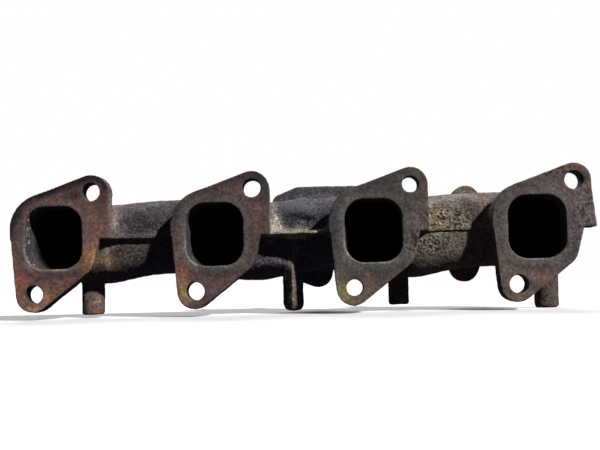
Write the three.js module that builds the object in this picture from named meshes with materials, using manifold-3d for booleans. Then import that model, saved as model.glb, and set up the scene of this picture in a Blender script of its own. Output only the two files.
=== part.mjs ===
// Log-type exhaust manifold of a four-cylinder engine.
//
// Frame, in millimetres: +X runs along the port row, +Y points away from the cylinder head,
// +Z is up. The origin is the middle of the port row, in the plane of the head joint.
//
// The real manifold is one iron casting with studs screwed into it. Here the casting is
// divided at its natural boundaries, so that each flange, runner, tube section, ledge, neck
// and peg is its own closed solid. Neighbours keep a gap of GAP between their faces.

import * as THREE from 'three';
import { mergeVertices } from 'three/addons/utils/BufferGeometryUtils.js';
import Module from 'manifold-3d';

const wasm = await Module();
wasm.setup();

const GAP = 0.3;

// How far a cutting tool runs past the faces that it cuts through.
const OVERRUN = 1;

// Port row and head flanges. Each corner of an outline is [x, z, rounding radius],
// measured from the centre of the port or of the flange's bore.
const PORT_X = [-149, -49, 49, 149];
const PORT_WIDTH = 35.4;
const PORT_HEIGHT = 39;
const PORT_CORNER_R = 12;
const FLANGE_THICKNESS = 13;
const EAR_R = 10.5;
const HEAD_HOLES = [[23.4, 28], [-12.3, -34.9]];
const HEAD_HOLE_R = [5.65, 5.65, 5.1, 5.65];
const STEP_Z = -0.8;
const FLANGE_CORNERS = [
  [33.9, 43, EAR_R],
  [-28.5, 20.3, 22],
  [-21.7, -55.6, EAR_R],
  [23.5, -20.3, 12],
  [28.7, STEP_Z, 0.5],
];
const STEP_CORNERS = [[34, STEP_Z, 0.5]];
const END_LUG_CORNERS = [[36.2, STEP_Z, 0.5], [33.9, 22, 8]];
const FLANGE_REACH = { left: 28.5, right: 34 };

// Exhaust log: a round tube whose axis bows away from the head towards the outlet and dips
// a little to the right of each port.
const LOG_R = 24.5;
const WALL = 5;
const LOG_Y = 38.5;
const BOW_CENTRE_X = 8;
const BOW_HALF_LENGTH = 75;
const BOW_DEPTH = 9.5;
const LOG_Z = 0.9;
const DIP_OFFSET_X = 24;
const DIP_LENGTH = 22;
const DIP_DEPTH = 4.1;
const LOG_STEPS = 30;
const LOG_SIDES = 24;
const LOG_JOINTS_X = [-99, -20, 99];
const LOG_END_X = 180;

// Runners: short passages from each head flange into the log.
const RUNNER_END_Y = 38;

// Ledges: cast ribs between neighbouring head flanges, flat underneath. The log bows away from
// the middle one, which stands further forward and also runs on behind its two flanges as far
// as their runners.
const LEDGES = [
  { frontY: 12.2, runsBehind: false },
  { frontY: 7.5, runsBehind: true },
  { frontY: 12.2, runsBehind: false },
];
const LEDGE_LIP_HEIGHT = 1.8;
const LEDGE_REACH_Y = 30;
const LEDGE_TOP_Z = 15;
const LEDGE_HOLLOW = [6, 3];

// Outlet: a three-bolt flange for the turbocharger, on the far side of the log.
const OUTLET = { x: 15, z: 4.5, boreR: 19.5, neckR: 23.5, neckStartY: 55 };
const OUTLET_FACE_Y = 86;
const OUTLET_THICKNESS = 13;
const OUTLET_HOLES = [[-20.5, 19.5], [24.5, 19.5], [-1.5, -28.5]];
const OUTLET_CORNERS = [
  [35.5, 31, 11],
  [-15, 31, 10],
  [-31.4, 24, 6],
  [-31.4, 4, 14],
  [-20, -32.4, 14],
  [6.5, -42.5, 10],
  [10.5, -24, 6],
  [35.5, 0, 14],
];

// Exhaust gas recirculation take-off: a two-bolt flange near the right-hand end.
const EGR = { x: 115.4, z: 0, boreR: 12, neckR: 16.5, neckStartY: 50 };
const EGR_FACE_Y = 76;
const EGR_THICKNESS = 10;
const EGR_HOLES = [[1, 23.5], [-1, -23.5]];
const EGR_HUB_R = 18.5;
const EGR_EAR_R = 9.3;

// Studs: 8 mm, screwed into blind holes from the joint face.
const STUD_R = 4;
const STUD_CHAMFER = 0.8;
const STUD_NECK_R = 3.3;
const STUD_WAIST = 2;
const STUD_SIDES = 16;
const OUTLET_STUD = { depth: 8.5, out: 24 };
const EGR_STUD = { depth: 6.5, out: 20 };

// Cast pegs under the log, each a little different. The last value is the chamfer of its end.
const PEGS = [
  { x: -134.2, y: 40, r: 7.4, bottom: -48.9, top: -12, chamfer: 1 },
  { x: -2, y: 31, r: 6.6, bottom: -49.1, top: -17.5, chamfer: 2.5 },
  { x: 67.5, y: 52, r: 6.8, bottom: -47.1, top: -12, chamfer: 1 },
  { x: 162.7, y: 40, r: 7.7, bottom: -50.7, top: -12, chamfer: 1 },
];
const PEG_SIDES = 24;

const ROUND_SIDES = 28;
const ARC_STEPS = 4;

const manifold = new THREE.Group();

const finish = {
  cast: { color: 0x6a5d55, roughness: 0.85, metalness: 0.5 },
  machined: { color: 0x6e5c52, roughness: 0.7, metalness: 0.6 },
  steel: { color: 0x6b6058, roughness: 0.5, metalness: 0.8 },
};

function toSolid(geometry) {
  const bare = geometry.index ? geometry.toNonIndexed() : geometry.clone();
  bare.deleteAttribute('normal');
  bare.deleteAttribute('uv');
  const merged = mergeVertices(bare, 1e-4);
  return new wasm.Manifold(new wasm.Mesh({
    numProp: 3,
    vertProperties: new Float32Array(merged.attributes.position.array),
    triVerts: new Uint32Array(merged.index.array),
  }));
}

function toGeometry(solid) {
  const mesh = solid.getMesh();
  const geometry = new THREE.BufferGeometry();
  geometry.setAttribute('position', new THREE.BufferAttribute(mesh.vertProperties, 3));
  geometry.setIndex(new THREE.BufferAttribute(mesh.triVerts, 1));
  geometry.computeVertexNormals();
  return geometry;
}

function addPiece(name, solid, look) {
  const mesh = new THREE.Mesh(toGeometry(solid), new THREE.MeshStandardMaterial(look));
  mesh.name = name;
  manifold.add(mesh);
}

function cutAll(solid, tools) {
  return tools.reduce((left, tool) => left.subtract(tool), solid);
}

function joinAll(solids) {
  return solids.reduce((sum, solid) => sum.add(solid));
}

// A closed outline through straight sides, with each corner replaced by a tangent arc.
function roundedOutline(corners) {
  const shape = new THREE.Shape();
  corners.forEach(([x, z, radius], i) => {
    const corner = new THREE.Vector2(x, z);
    const before = corners[(i + corners.length - 1) % corners.length];
    const after = corners[(i + 1) % corners.length];
    const toBefore = new THREE.Vector2(before[0] - x, before[1] - z).normalize();
    const toAfter = new THREE.Vector2(after[0] - x, after[1] - z).normalize();
    const halfAngle = Math.acos(toBefore.dot(toAfter)) / 2;
    const reach = radius / Math.tan(halfAngle);
    const start = corner.clone().addScaledVector(toBefore, reach);
    const end = corner.clone().addScaledVector(toAfter, reach);
    const inward = toBefore.clone().add(toAfter).normalize();
    const centre = corner.clone().addScaledVector(inward, radius / Math.sin(halfAngle));
    const from = start.clone().sub(centre).angle();
    const to = end.clone().sub(centre).angle();
    const clockwise = toBefore.cross(toAfter) > 0;
    shape.absarc(centre.x, centre.y, radius, from, to, clockwise);
  });
  shape.closePath();
  return shape;
}

function roundedRectangle(width, height, radius) {
  return roundedOutline([
    [width / 2, height / 2, radius],
    [-width / 2, height / 2, radius],
    [-width / 2, -height / 2, radius],
    [width / 2, -height / 2, radius],
  ]);
}

// A plate with the shape's outline in the XZ plane, from y = near to y = far.
function plate(shape, x, z, near, far) {
  const geometry = new THREE.ExtrudeGeometry(shape, {
    depth: far - near,
    bevelEnabled: false,
    curveSegments: ARC_STEPS,
  });
  geometry.rotateX(Math.PI / 2);
  geometry.translate(x, far, z);
  return toSolid(geometry);
}

// A round bar along Y.
function bar(radius, x, z, near, far) {
  const geometry = new THREE.CylinderGeometry(radius, radius, far - near, ROUND_SIDES);
  geometry.translate(x, (near + far) / 2, z);
  return toSolid(geometry);
}

function holes(centres, radius, x, z, near, far) {
  return centres.map(([dx, dz]) => bar(radius, x + dx, z + dz, near, far));
}

// Blind holes for studs, each as deep as its stud and a gap.
function tappedHoles(end, centres, faceY, { depth }) {
  return holes(centres, STUD_R + GAP, end.x, end.z, faceY - depth - GAP, faceY + OVERRUN);
}

function logAxisAt(x) {
  const bow = THREE.MathUtils.clamp((x - BOW_CENTRE_X) / BOW_HALF_LENGTH, -1, 1);
  const dip = PORT_X.reduce((sum, port) => (
    sum + Math.exp(-(((x - port - DIP_OFFSET_X) / DIP_LENGTH) ** 2))
  ), 0);
  const y = LOG_Y + BOW_DEPTH * Math.cos(bow * Math.PI / 2) ** 2;
  return new THREE.Vector3(x, y, LOG_Z - DIP_DEPTH * dip);
}

class LogAxis extends THREE.Curve {
  getPoint(t, target = new THREE.Vector3()) {
    return target.copy(logAxisAt(THREE.MathUtils.lerp(PORT_X[0], PORT_X[3], t)));
  }
}

// The log as a solid bar of the given radius, with domed ends around the outer ports.
function logBar(radius) {
  const section = new THREE.Shape();
  section.absarc(0, 0, radius, 0, 2 * Math.PI);
  const tube = new THREE.ExtrudeGeometry(section, {
    steps: LOG_STEPS,
    curveSegments: LOG_SIDES / 2,
    bevelEnabled: false,
    extrudePath: new LogAxis(),
  });
  const domes = [PORT_X[0], PORT_X[3]].map((x) => {
    const dome = new THREE.SphereGeometry(radius, LOG_SIDES, LOG_SIDES / 2);
    const centre = logAxisAt(x);
    return toSolid(dome.translate(centre.x, centre.y, centre.z));
  });
  return joinAll([toSolid(tube), ...domes]);
}

function buildHeadFlanges() {
  const port = roundedRectangle(PORT_WIDTH, PORT_HEIGHT, PORT_CORNER_R);
  PORT_X.forEach((x, i) => {
    const isLast = i === PORT_X.length - 1;
    const corners = [...FLANGE_CORNERS, ...(isLast ? END_LUG_CORNERS : STEP_CORNERS)];
    const blank = plate(roundedOutline(corners), x, 0, 0, FLANGE_THICKNESS);
    const solid = cutAll(blank, [
      plate(port, x, 0, -OVERRUN, FLANGE_THICKNESS + OVERRUN),
      ...holes(HEAD_HOLES, HEAD_HOLE_R[i], x, 0, -OVERRUN, FLANGE_THICKNESS + OVERRUN),
    ]);
    addPiece(`port_flange_${i + 1}`, solid, finish.machined);
  });
}

// A runner's outside as a solid bar, grown all round by the given margin.
function runnerBar(x, margin) {
  const wall = WALL + margin;
  const outside = roundedRectangle(
    PORT_WIDTH + 2 * wall,
    PORT_HEIGHT + 2 * wall,
    PORT_CORNER_R + wall,
  );
  return plate(outside, x, 0, FLANGE_THICKNESS + GAP - margin, RUNNER_END_Y + margin);
}

function buildRunners(logWithGap) {
  const inside = roundedRectangle(PORT_WIDTH, PORT_HEIGHT, PORT_CORNER_R);
  PORT_X.forEach((x, i) => {
    const solid = cutAll(runnerBar(x, 0), [
      plate(inside, x, 0, 0, RUNNER_END_Y + OVERRUN),
      logWithGap,
    ]);
    addPiece(`runner_${i + 1}`, solid, finish.cast);
  });
}

function buildLog(logOutside) {
  const inside = logBar(LOG_R - WALL);
  const port = roundedRectangle(PORT_WIDTH, PORT_HEIGHT, PORT_CORNER_R);
  const hollow = cutAll(logOutside, [
    inside,
    ...PORT_X.map((x) => plate(port, x, 0, 0, LOG_Y)),
    bar(OUTLET.boreR, OUTLET.x, OUTLET.z, LOG_Y + BOW_DEPTH, OUTLET_FACE_Y),
    bar(EGR.boreR, EGR.x, EGR.z, LOG_Y, EGR_FACE_Y),
  ]);
  const limits = [-LOG_END_X, ...LOG_JOINTS_X, LOG_END_X];
  for (let i = 0; i + 1 < limits.length; i += 1) {
    const length = limits[i + 1] - limits[i] - GAP;
    const slice = new THREE.BoxGeometry(length, 4 * LOG_R, 4 * LOG_R);
    slice.translate((limits[i] + limits[i + 1]) / 2, LOG_Y, 0);
    addPiece(`log_section_${i + 1}`, hollow.intersect(toSolid(slice)), finish.cast);
  }
}

// A stretch of ledge, whose section has a short upright lip and a hollow curve that runs up on
// to the log.
function ledgeBar(front, start, end) {
  const lipZ = STEP_Z + LEDGE_LIP_HEIGHT;
  const section = new THREE.Shape();
  section.moveTo(front, STEP_Z);
  section.lineTo(LEDGE_REACH_Y, STEP_Z);
  section.lineTo(LEDGE_REACH_Y, LEDGE_TOP_Z);
  section.quadraticCurveTo(front + LEDGE_HOLLOW[0], lipZ + LEDGE_HOLLOW[1], front, lipZ);
  section.closePath();
  const geometry = new THREE.ExtrudeGeometry(section, {
    depth: end - start,
    bevelEnabled: false,
    curveSegments: ARC_STEPS,
  });
  geometry.rotateX(Math.PI / 2);
  geometry.rotateZ(Math.PI / 2);
  geometry.translate(start, 0, 0);
  return toSolid(geometry);
}

function buildLedges(logWithGap) {
  const runnerReach = PORT_WIDTH / 2 + WALL + GAP;
  LEDGES.forEach(({ frontY, runsBehind }, i) => {
    const left = PORT_X[i];
    const right = PORT_X[i + 1];
    const stretches = [
      ledgeBar(frontY, left + FLANGE_REACH.right + GAP, right - FLANGE_REACH.left - GAP),
    ];
    if (runsBehind) {
      const behind = FLANGE_THICKNESS + GAP;
      stretches.push(ledgeBar(behind, left + runnerReach, right - runnerReach));
    }
    const solid = joinAll(stretches).subtract(logWithGap);
    addPiece(`ledge_${i + 1}_${i + 2}`, solid, finish.cast);
  });
}

function buildNeck(name, end, flangeBackY, logWithGap) {
  const near = end.neckStartY;
  const far = flangeBackY - GAP;
  const solid = cutAll(bar(end.neckR, end.x, end.z, near, far), [
    bar(end.boreR, end.x, end.z, near - OVERRUN, far + OVERRUN),
    logWithGap,
  ]);
  addPiece(name, solid, finish.cast);
}

function buildJointFlange(name, end, blank, studHoles, backY, faceY) {
  const solid = cutAll(blank, [
    bar(end.boreR, end.x, end.z, backY - OVERRUN, faceY + OVERRUN),
    ...studHoles,
  ]);
  addPiece(name, solid, finish.machined);
}

function buildOutlet(logWithGap) {
  const backY = OUTLET_FACE_Y - OUTLET_THICKNESS;
  const blank = plate(roundedOutline(OUTLET_CORNERS), OUTLET.x, OUTLET.z, backY, OUTLET_FACE_Y);
  buildNeck('outlet_neck', OUTLET, backY, logWithGap);
  const studHoles = tappedHoles(OUTLET, OUTLET_HOLES, OUTLET_FACE_Y, OUTLET_STUD);
  buildJointFlange('outlet_flange', OUTLET, blank, studHoles, backY, OUTLET_FACE_Y);
  buildStuds('outlet_stud', OUTLET, OUTLET_HOLES, OUTLET_FACE_Y, OUTLET_STUD);
}

// Two ears and a round hub between them, joined by sides tangent to both.
function egrOutline() {
  const ear = new THREE.Vector2(...EGR_HOLES[0]);
  const taper = Math.asin((EGR_HUB_R - EGR_EAR_R) / ear.length());
  const right = ear.angle() - Math.PI / 2;
  const left = right + Math.PI;
  const shape = new THREE.Shape();
  shape.absarc(0, 0, EGR_HUB_R, right - taper, right + taper);
  shape.absarc(ear.x, ear.y, EGR_EAR_R, right + taper, left - taper);
  shape.absarc(0, 0, EGR_HUB_R, left - taper, left + taper);
  shape.absarc(-ear.x, -ear.y, EGR_EAR_R, left + taper, right - taper + 2 * Math.PI);
  shape.closePath();
  return shape;
}

function buildEgrTakeOff(logWithGap) {
  const backY = EGR_FACE_Y - EGR_THICKNESS;
  const blank = plate(egrOutline(), EGR.x, EGR.z, backY, EGR_FACE_Y);
  buildNeck('egr_neck', EGR, backY, logWithGap);
  const studHoles = tappedHoles(EGR, EGR_HOLES, EGR_FACE_Y, EGR_STUD);
  buildJointFlange('egr_flange', EGR, blank, studHoles, backY, EGR_FACE_Y);
  buildStuds('egr_stud', EGR, EGR_HOLES, EGR_FACE_Y, EGR_STUD);
}

// A stud has a chamfer at each end and a waist at the joint face, between its two threads.
function studGeometry({ depth, out }) {
  const profile = [
    [0, -depth],
    [STUD_R - STUD_CHAMFER, -depth],
    [STUD_R, -depth + STUD_CHAMFER],
    [STUD_R, -STUD_CHAMFER],
    [STUD_NECK_R, 0],
    [STUD_NECK_R, STUD_WAIST],
    [STUD_R, STUD_WAIST + STUD_CHAMFER],
    [STUD_R, out - STUD_CHAMFER],
    [STUD_R - STUD_CHAMFER, out],
    [0, out],
  ];
  const points = profile.map(([r, y]) => new THREE.Vector2(r, y));
  return new THREE.LatheGeometry(points, STUD_SIDES);
}

function buildStuds(name, end, centres, faceY, lengths) {
  centres.forEach(([dx, dz], i) => {
    const geometry = studGeometry(lengths);
    geometry.translate(end.x + dx, faceY, end.z + dz);
    addPiece(`${name}_${i + 1}`, toSolid(geometry), finish.steel);
  });
}

function buildPegs(logWithGap) {
  PEGS.forEach(({ x, y, r, bottom, top, chamfer }, i) => {
    const height = top - bottom;
    const profile = [[0, 0], [r - chamfer, 0], [r, chamfer], [r, height], [0, height]];
    const points = profile.map(([radius, z]) => new THREE.Vector2(radius, z));
    const geometry = new THREE.LatheGeometry(points, PEG_SIDES);
    geometry.rotateX(Math.PI / 2);
    geometry.translate(x, y, bottom);
    const solid = cutAll(toSolid(geometry), [
      logWithGap,
      ...PORT_X.map((portX) => runnerBar(portX, GAP)),
    ]);
    addPiece(`cast_peg_${i + 1}`, solid, finish.cast);
  });
}

const logOutside = logBar(LOG_R);
const logWithGap = logBar(LOG_R + GAP);
buildHeadFlanges();
buildRunners(logWithGap);
buildLog(logOutside);
buildLedges(logWithGap);
buildOutlet(logWithGap);
buildEgrTakeOff(logWithGap);
buildPegs(logWithGap);

export default manifold;
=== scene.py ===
"""Looks of the exhaust manifold: one detailed sand-cast iron surface and its threaded studs.

The casting is modelled as a distance field in millimetres, in the row's own frame: each
function gives how far a point is outside a feature (negative inside), and smooth unions
make the cast fillets. The field is meshed once, roughened, and cut into named sections.
"""

import math

import bmesh
import bpy
import numpy as np
from mathutils import Matrix, Vector


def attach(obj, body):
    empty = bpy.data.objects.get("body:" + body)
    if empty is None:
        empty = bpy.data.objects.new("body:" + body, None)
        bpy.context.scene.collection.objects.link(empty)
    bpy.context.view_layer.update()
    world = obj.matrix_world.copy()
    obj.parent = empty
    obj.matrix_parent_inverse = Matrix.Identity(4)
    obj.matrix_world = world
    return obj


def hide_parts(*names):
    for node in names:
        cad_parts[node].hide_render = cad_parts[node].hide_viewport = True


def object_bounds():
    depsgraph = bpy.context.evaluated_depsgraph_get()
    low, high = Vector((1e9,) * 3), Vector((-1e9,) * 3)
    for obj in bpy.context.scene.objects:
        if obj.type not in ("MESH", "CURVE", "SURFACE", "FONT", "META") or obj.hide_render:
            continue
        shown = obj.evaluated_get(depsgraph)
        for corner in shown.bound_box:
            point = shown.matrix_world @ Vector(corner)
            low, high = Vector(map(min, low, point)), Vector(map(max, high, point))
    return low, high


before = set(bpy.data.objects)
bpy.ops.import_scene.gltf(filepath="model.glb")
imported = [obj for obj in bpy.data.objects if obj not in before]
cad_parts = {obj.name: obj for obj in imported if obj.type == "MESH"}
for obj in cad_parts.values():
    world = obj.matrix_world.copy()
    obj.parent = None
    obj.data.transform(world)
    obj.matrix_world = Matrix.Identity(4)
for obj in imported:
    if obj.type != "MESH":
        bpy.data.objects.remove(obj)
CAD_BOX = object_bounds()

MM = 0.001
CELL = 0.85

# ---------------------------------------------------------------- dimensions, in mm

PORT_X = (-149.0, -49.0, 49.0, 149.0)
PORT_HALF = (17.7, 19.5)
PORT_CORNER_R = 12.0
# The gas passage starts this far in front of the face, so that it cuts clean through
PORT_CLEAR = 5.0
FLANGE_THICKNESS = 13.0
FLANGE_EDGE_R = 0.7
FACE_Y = 0.0
# x and z from a port's centre, and the radius at each flange
HEAD_HOLES = ((23.4, 28.0), (-12.3, -34.9))
HEAD_HOLE_R = (5.65, 5.65, 5.1, 5.65)
HEAD_HOLE_REACH = 12.0
EAR_R = 10.5
STEP_Z = -0.8
# x and z from a port's centre, and the corner's radius; the last flange has an end lug
FLANGE_CORNERS = (
    (33.9, 43.0, EAR_R),
    (-28.5, 20.3, 22.0),
    (-21.7, -55.6, EAR_R),
    (23.5, -20.3, 12.0),
    (28.7, STEP_Z, 0.5),
)
STEP_CORNERS = ((34.0, STEP_Z, 0.5),)
END_LUG_CORNERS = ((36.2, STEP_Z, 0.5), (33.9, 22.0, 8.0))

# The log bows away from the head in its middle and has a low place to the right of each port
LOG_R = 24.0
WALL = 5.0
LOG_Y = 38.5
BOW_CENTRE_X = 8.0
BOW_HALF_LENGTH = 75.0
BOW_DEPTH = 9.5
LOG_Z = 0.9
DIP_OFFSET_X = 24.0
DIP_LENGTH = 22.0
DIP_DEPTH = 4.1
SWELL = 1.5

# Each runner leans towards +X and down over this depth, and rounds off into the log
RUNNER_LEAN = (5.0, -1.5)
RUNNER_LENGTH = 26.0
RUNNER_START_Y = 4.0
RUNNER_END = 16.0

# Between flanges 1 and 2, 2 and 3, 3 and 4
LEDGE_LIP_Y = (13.4, 7.5, 13.0)
LEDGE_BACK_Y = 34.0
# The ledge's fillet grows where the log's front is further back than this
LEDGE_RECESS = 11.0
LEDGE_Z = (-6.0, 1.2)
LEDGE_INSET = 18.0
# Below the first ledge the log's front is flattened: where this starts, is full, fades, ends
FLAT_X = (-128.0, -118.0, -78.0, -66.0)
FLAT_Y = 16.6
# Elsewhere the flat is this much further forward, where it takes nothing off the log
FLAT_CLEAR = 20.0
# Below the last ledge it bulges: the middle and half length along X, and the height
BELLY = (92.0, 24.0, 3.4)
# A cast shoulder below the middle recess: its centre and half widths
SHOULDER = ((-14.0, 32.0, -17.0), (15.0, 10.5, 6.0))

# Rear flanges: x and z of the bore; holes and corners are given from there. Each neck and
# bore starts inside the log.
OUTLET = (15.0, 4.5)
OUTLET_BORE_R = 19.5
OUTLET_BORE_Y = 56.0
OUTLET_NECK_R = 23.0
OUTLET_NECK_Y = 52.0
OUTLET_FACE_Y = 86.0
OUTLET_BACK_Y = 73.0
OUTLET_EDGE_R = 1.6
OUTLET_HOLES = ((-20.5, 19.5), (24.5, 19.5), (-1.5, -28.5))
OUTLET_CORNERS = (
    (35.5, 31.0, 11.0),
    (-15.0, 31.0, 10.0),
    (-31.4, 24.0, 6.0),
    (-31.4, 4.0, 14.0),
    (-20.0, -32.4, 14.0),
    (6.5, -42.5, 10.0),
    (10.5, -24.0, 6.0),
    (35.5, 0.0, 14.0),
)

EGR = (115.4, 0.0)
EGR_BORE_R = 12.0
EGR_BORE_Y = 40.0
EGR_NECK_R = 16.5
EGR_NECK_Y = 48.0
EGR_FACE_Y = 76.0
EGR_BACK_Y = 66.0
EGR_EDGE_R = 1.4
EGR_HOLES = ((1.0, 23.5), (-1.0, -23.5))
EGR_HUB_R = 18.5
EGR_EAR_R = 9.3
EGR_EAR_FILLET = 13.0
# Beyond this x, whatever stands behind the log belongs to the EGR flange
EGR_SIDE_X = 85.0

STUD_R = 4.0
STUD_PITCH = 1.25
STUD_HOLE_CLEARANCE = 0.25
STUD_END_CLEARANCE = 0.3
# How far a stud goes into its flange, and how far it stands out
OUTLET_STUD = (8.5, 24.0)
EGR_STUD = (6.5, 20.0)

# x, y, radius, bottom z, top z, rounding of the end
PEGS = (
    (-134.2, 40.0, 7.4, -48.8, -14.0, 1.0),
    (-2.0, 31.0, 6.6, -49.0, -17.5, 2.5),
    (67.5, 52.0, 6.8, -47.0, -14.0, 1.0),
    (162.7, 40.0, 7.7, -50.6, -14.0, 1.0),
)
PEG_END_K = 2.2
# One peg has a ridge down its front: its edge from the peg's axis, and the slope of its sides
RIDGED_PEG = 1
RIDGE_X = -0.4
RIDGE_REACH = 10.2
RIDGE_SLOPE = 0.7

# Sizes of the fillets between parts of the casting, and of its rounded edges
RUNNER_FILLET = 7.0
BRANCH_FILLET = 5.0
BORE_FILLET = 4.0
PEG_FILLET = 2.0
RIDGE_FILLET = 1.5
LEDGE_FILLETS = (3.0, 12.0)
FLANGE_FILLETS = (6.0, 2.5)
STEP_FILLET = 0.8
FLAT_EDGE = 4.0
PASSAGE_EDGE = 1.2
HOLE_EDGE = 0.6
STEP_EDGE = 0.6
FACE_EDGE = 0.4

# A feature whose points are all far away counts as this far off
FAR = 1e3

# ---------------------------------------------------------------- distance fields


def length(*parts):
    """The length of vectors given by their parts."""
    return np.sqrt(sum(p * p for p in parts))


def soft_step(value, start, end):
    """0 before start, 1 after end, and a smooth rise between them."""
    t = np.clip((value - start) / (end - start), 0, 1)
    return t * t * (3 - 2 * t)


def smooth_union(a, b, k):
    """The nearer of two fields, with a fillet of about k mm where they meet."""
    h = np.clip(0.5 + 0.5 * (b - a) / k, 0, 1)
    return b + (a - b) * h - k * h * (1 - h)


def smooth_cut(a, b, k):
    """The further of two fields, with the edge rounded over about k mm."""
    return -smooth_union(-a, -b, k)


def near(x, centre, reach):
    """Whether any of these points is within reach of a feature, which is left out if not."""
    return float(x.max()) > centre - reach and float(x.min()) < centre + reach


def rounded_outline(corners, steps=7):
    """Points along straight sides joined by tangent arcs; a corner is (x, z, radius)."""
    points = []
    for i, (x, z, radius) in enumerate(corners):
        corner = Vector((x, z))
        to_before = (Vector(corners[i - 1][:2]) - corner).normalized()
        to_after = (Vector(corners[(i + 1) % len(corners)][:2]) - corner).normalized()
        half = to_before.angle(to_after) / 2
        reach = radius / math.tan(half)
        centre = corner + (to_before + to_after).normalized() * (radius / math.sin(half))
        start = corner + to_before * reach - centre
        turn = start.angle_signed(corner + to_after * reach - centre)
        for s in range(steps + 1):
            step = start.copy()
            step.rotate(Matrix.Rotation(-turn * s / steps, 2))
            points.append(centre + step)
    return [(p.x, p.y) for p in points]


def polygon_field(x, z, outline):
    """How far points are outside a closed outline."""
    best = FAR * FAR
    sign = 1.0
    for i, (ax, az) in enumerate(outline):
        bx, bz = outline[i - 1]
        ex, ez = bx - ax, bz - az
        wx, wz = x - ax, z - az
        t = np.clip((wx * ex + wz * ez) / (ex * ex + ez * ez), 0, 1)
        best = np.minimum(best, (wx - ex * t) ** 2 + (wz - ez * t) ** 2)
        above, below, left = z >= az, z < bz, ex * wz > ez * wx
        flips = (above & below & left) | (~above & ~below & ~left)
        sign = np.where(flips, -sign, sign)
    return sign * np.sqrt(best)


def rounded_box_field(x, z, half_x, half_z, radius):
    """How far points are outside a rectangle with rounded corners."""
    qx = np.abs(x) - (half_x - radius)
    qz = np.abs(z) - (half_z - radius)
    inside = np.minimum(np.maximum(qx, qz), 0)
    return length(np.maximum(qx, 0), np.maximum(qz, 0)) + inside - radius


def slab(outline_field, y, front, back, edge):
    """A plate with this outline between two depths, its edges rounded."""
    return smooth_cut(outline_field, np.maximum(front - y, y - back), edge)


def dips(x):
    """How far the log's low places reach, 0 to 1: there is one to the right of each port."""
    return sum(np.exp(-(((x - p - DIP_OFFSET_X) / DIP_LENGTH) ** 2)) for p in PORT_X)


def log_axis(x):
    """y and z of the log's axis, which bows away from the head and dips beside each port."""
    bow = np.clip((x - BOW_CENTRE_X) / BOW_HALF_LENGTH, -1, 1)
    return LOG_Y + BOW_DEPTH * np.cos(bow * np.pi / 2) ** 2, LOG_Z - DIP_DEPTH * dips(x)


def log_field(x, y, z, radius):
    """The log as a bent bar with round ends, with its low swellings and its belly."""
    along = np.clip(x, PORT_X[0], PORT_X[3])
    centre_y, centre_z = log_axis(along)
    dy, dz = centre_y - y, centre_z - z
    out = length(x - along, dy, dz)
    middle, reach, height = BELLY
    slant = np.maximum(dy, 0) * np.maximum(dz, 0) / np.maximum(out, 1) ** 2
    belly = height * 2 * slant * np.exp(-(((x - middle) / reach) ** 4))
    return out - radius - SWELL * dips(along) - belly


def runner_shift(y):
    """How far a runner has leaned towards +X and down at a given depth."""
    t = np.clip((y - FLANGE_THICKNESS) / RUNNER_LENGTH, 0, 1)
    return RUNNER_LEAN[0] * t, RUNNER_LEAN[1] * t


def passage_field(x, y, z, grow, front):
    """The four runners from a given depth back, this much larger than the ports all round."""
    shift_x, shift_z = runner_shift(y)
    half_x, half_z = (half + grow for half in PORT_HALF)
    best = FAR
    for port in PORT_X:
        if near(x, port, 70):
            dx, dz = x - port - shift_x, z - shift_z
            section = rounded_box_field(dx, dz, half_x, half_z, PORT_CORNER_R + grow)
            best = np.minimum(best, section)
    ended = smooth_cut(best, y - log_axis(x)[0] - RUNNER_END / 4, RUNNER_END)
    return np.maximum(ended, front - y)


FLANGE_OUTLINES = [
    rounded_outline(FLANGE_CORNERS + (END_LUG_CORNERS if i == 3 else STEP_CORNERS))
    for i in range(4)
]
OUTLET_OUTLINE = rounded_outline(OUTLET_CORNERS)


def flanges_field(x, y, z):
    """The four slanted head flanges, without their holes."""
    best = FAR
    for port, outline in zip(PORT_X, FLANGE_OUTLINES):
        if near(x, port, 60):
            shape = polygon_field(x - port, z, outline)
            plate = slab(shape, y, FACE_Y, FLANGE_THICKNESS, FLANGE_EDGE_R)
            best = np.minimum(best, plate)
    return best


def ledge_field(x, y, z):
    """The shelf that joins neighbouring flanges."""
    best = FAR
    bottom, top = LEDGE_Z
    for left, right, lip in zip(PORT_X, PORT_X[1:], LEDGE_LIP_Y):
        if near(x, (left + right) / 2, 70):
            ends = np.maximum(left + LEDGE_INSET - x, x - right + LEDGE_INSET)
            depth = np.maximum(lip - y, y - LEDGE_BACK_Y)
            section = np.maximum(depth, np.maximum(bottom - z, z - top))
            best = np.minimum(best, np.maximum(section, ends))
    return best


def peg_field(x, y, z):
    """Round cast pegs under the log, and one with a ridge down its front."""
    best = FAR
    for i, (px, py, radius, bottom, top, rounding) in enumerate(PEGS):
        if near(x, px, 30):
            side = length(x - px, y - py) - radius
            if i == RIDGED_PEG:
                ridge = np.abs(x - px - RIDGE_X) + (py - y) - RIDGE_REACH
                ridge = smooth_cut(RIDGE_SLOPE * ridge, y - py + 0.7 * radius, 0.8)
                side = smooth_union(side, ridge, RIDGE_FILLET)
            ends = np.maximum(bottom - z, z - top)
            best = np.minimum(best, smooth_cut(side, ends, PEG_END_K * rounding))
    return best


def shoulder_field(x, y, z):
    """The oval shoulder of the log under the middle ledge."""
    centre, half = SHOULDER
    if not near(x, centre[0], 40):
        return FAR
    scaled = length(*((c - middle) / r for c, middle, r in zip((x, y, z), centre, half)))
    return (scaled - 1) * min(half)


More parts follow.
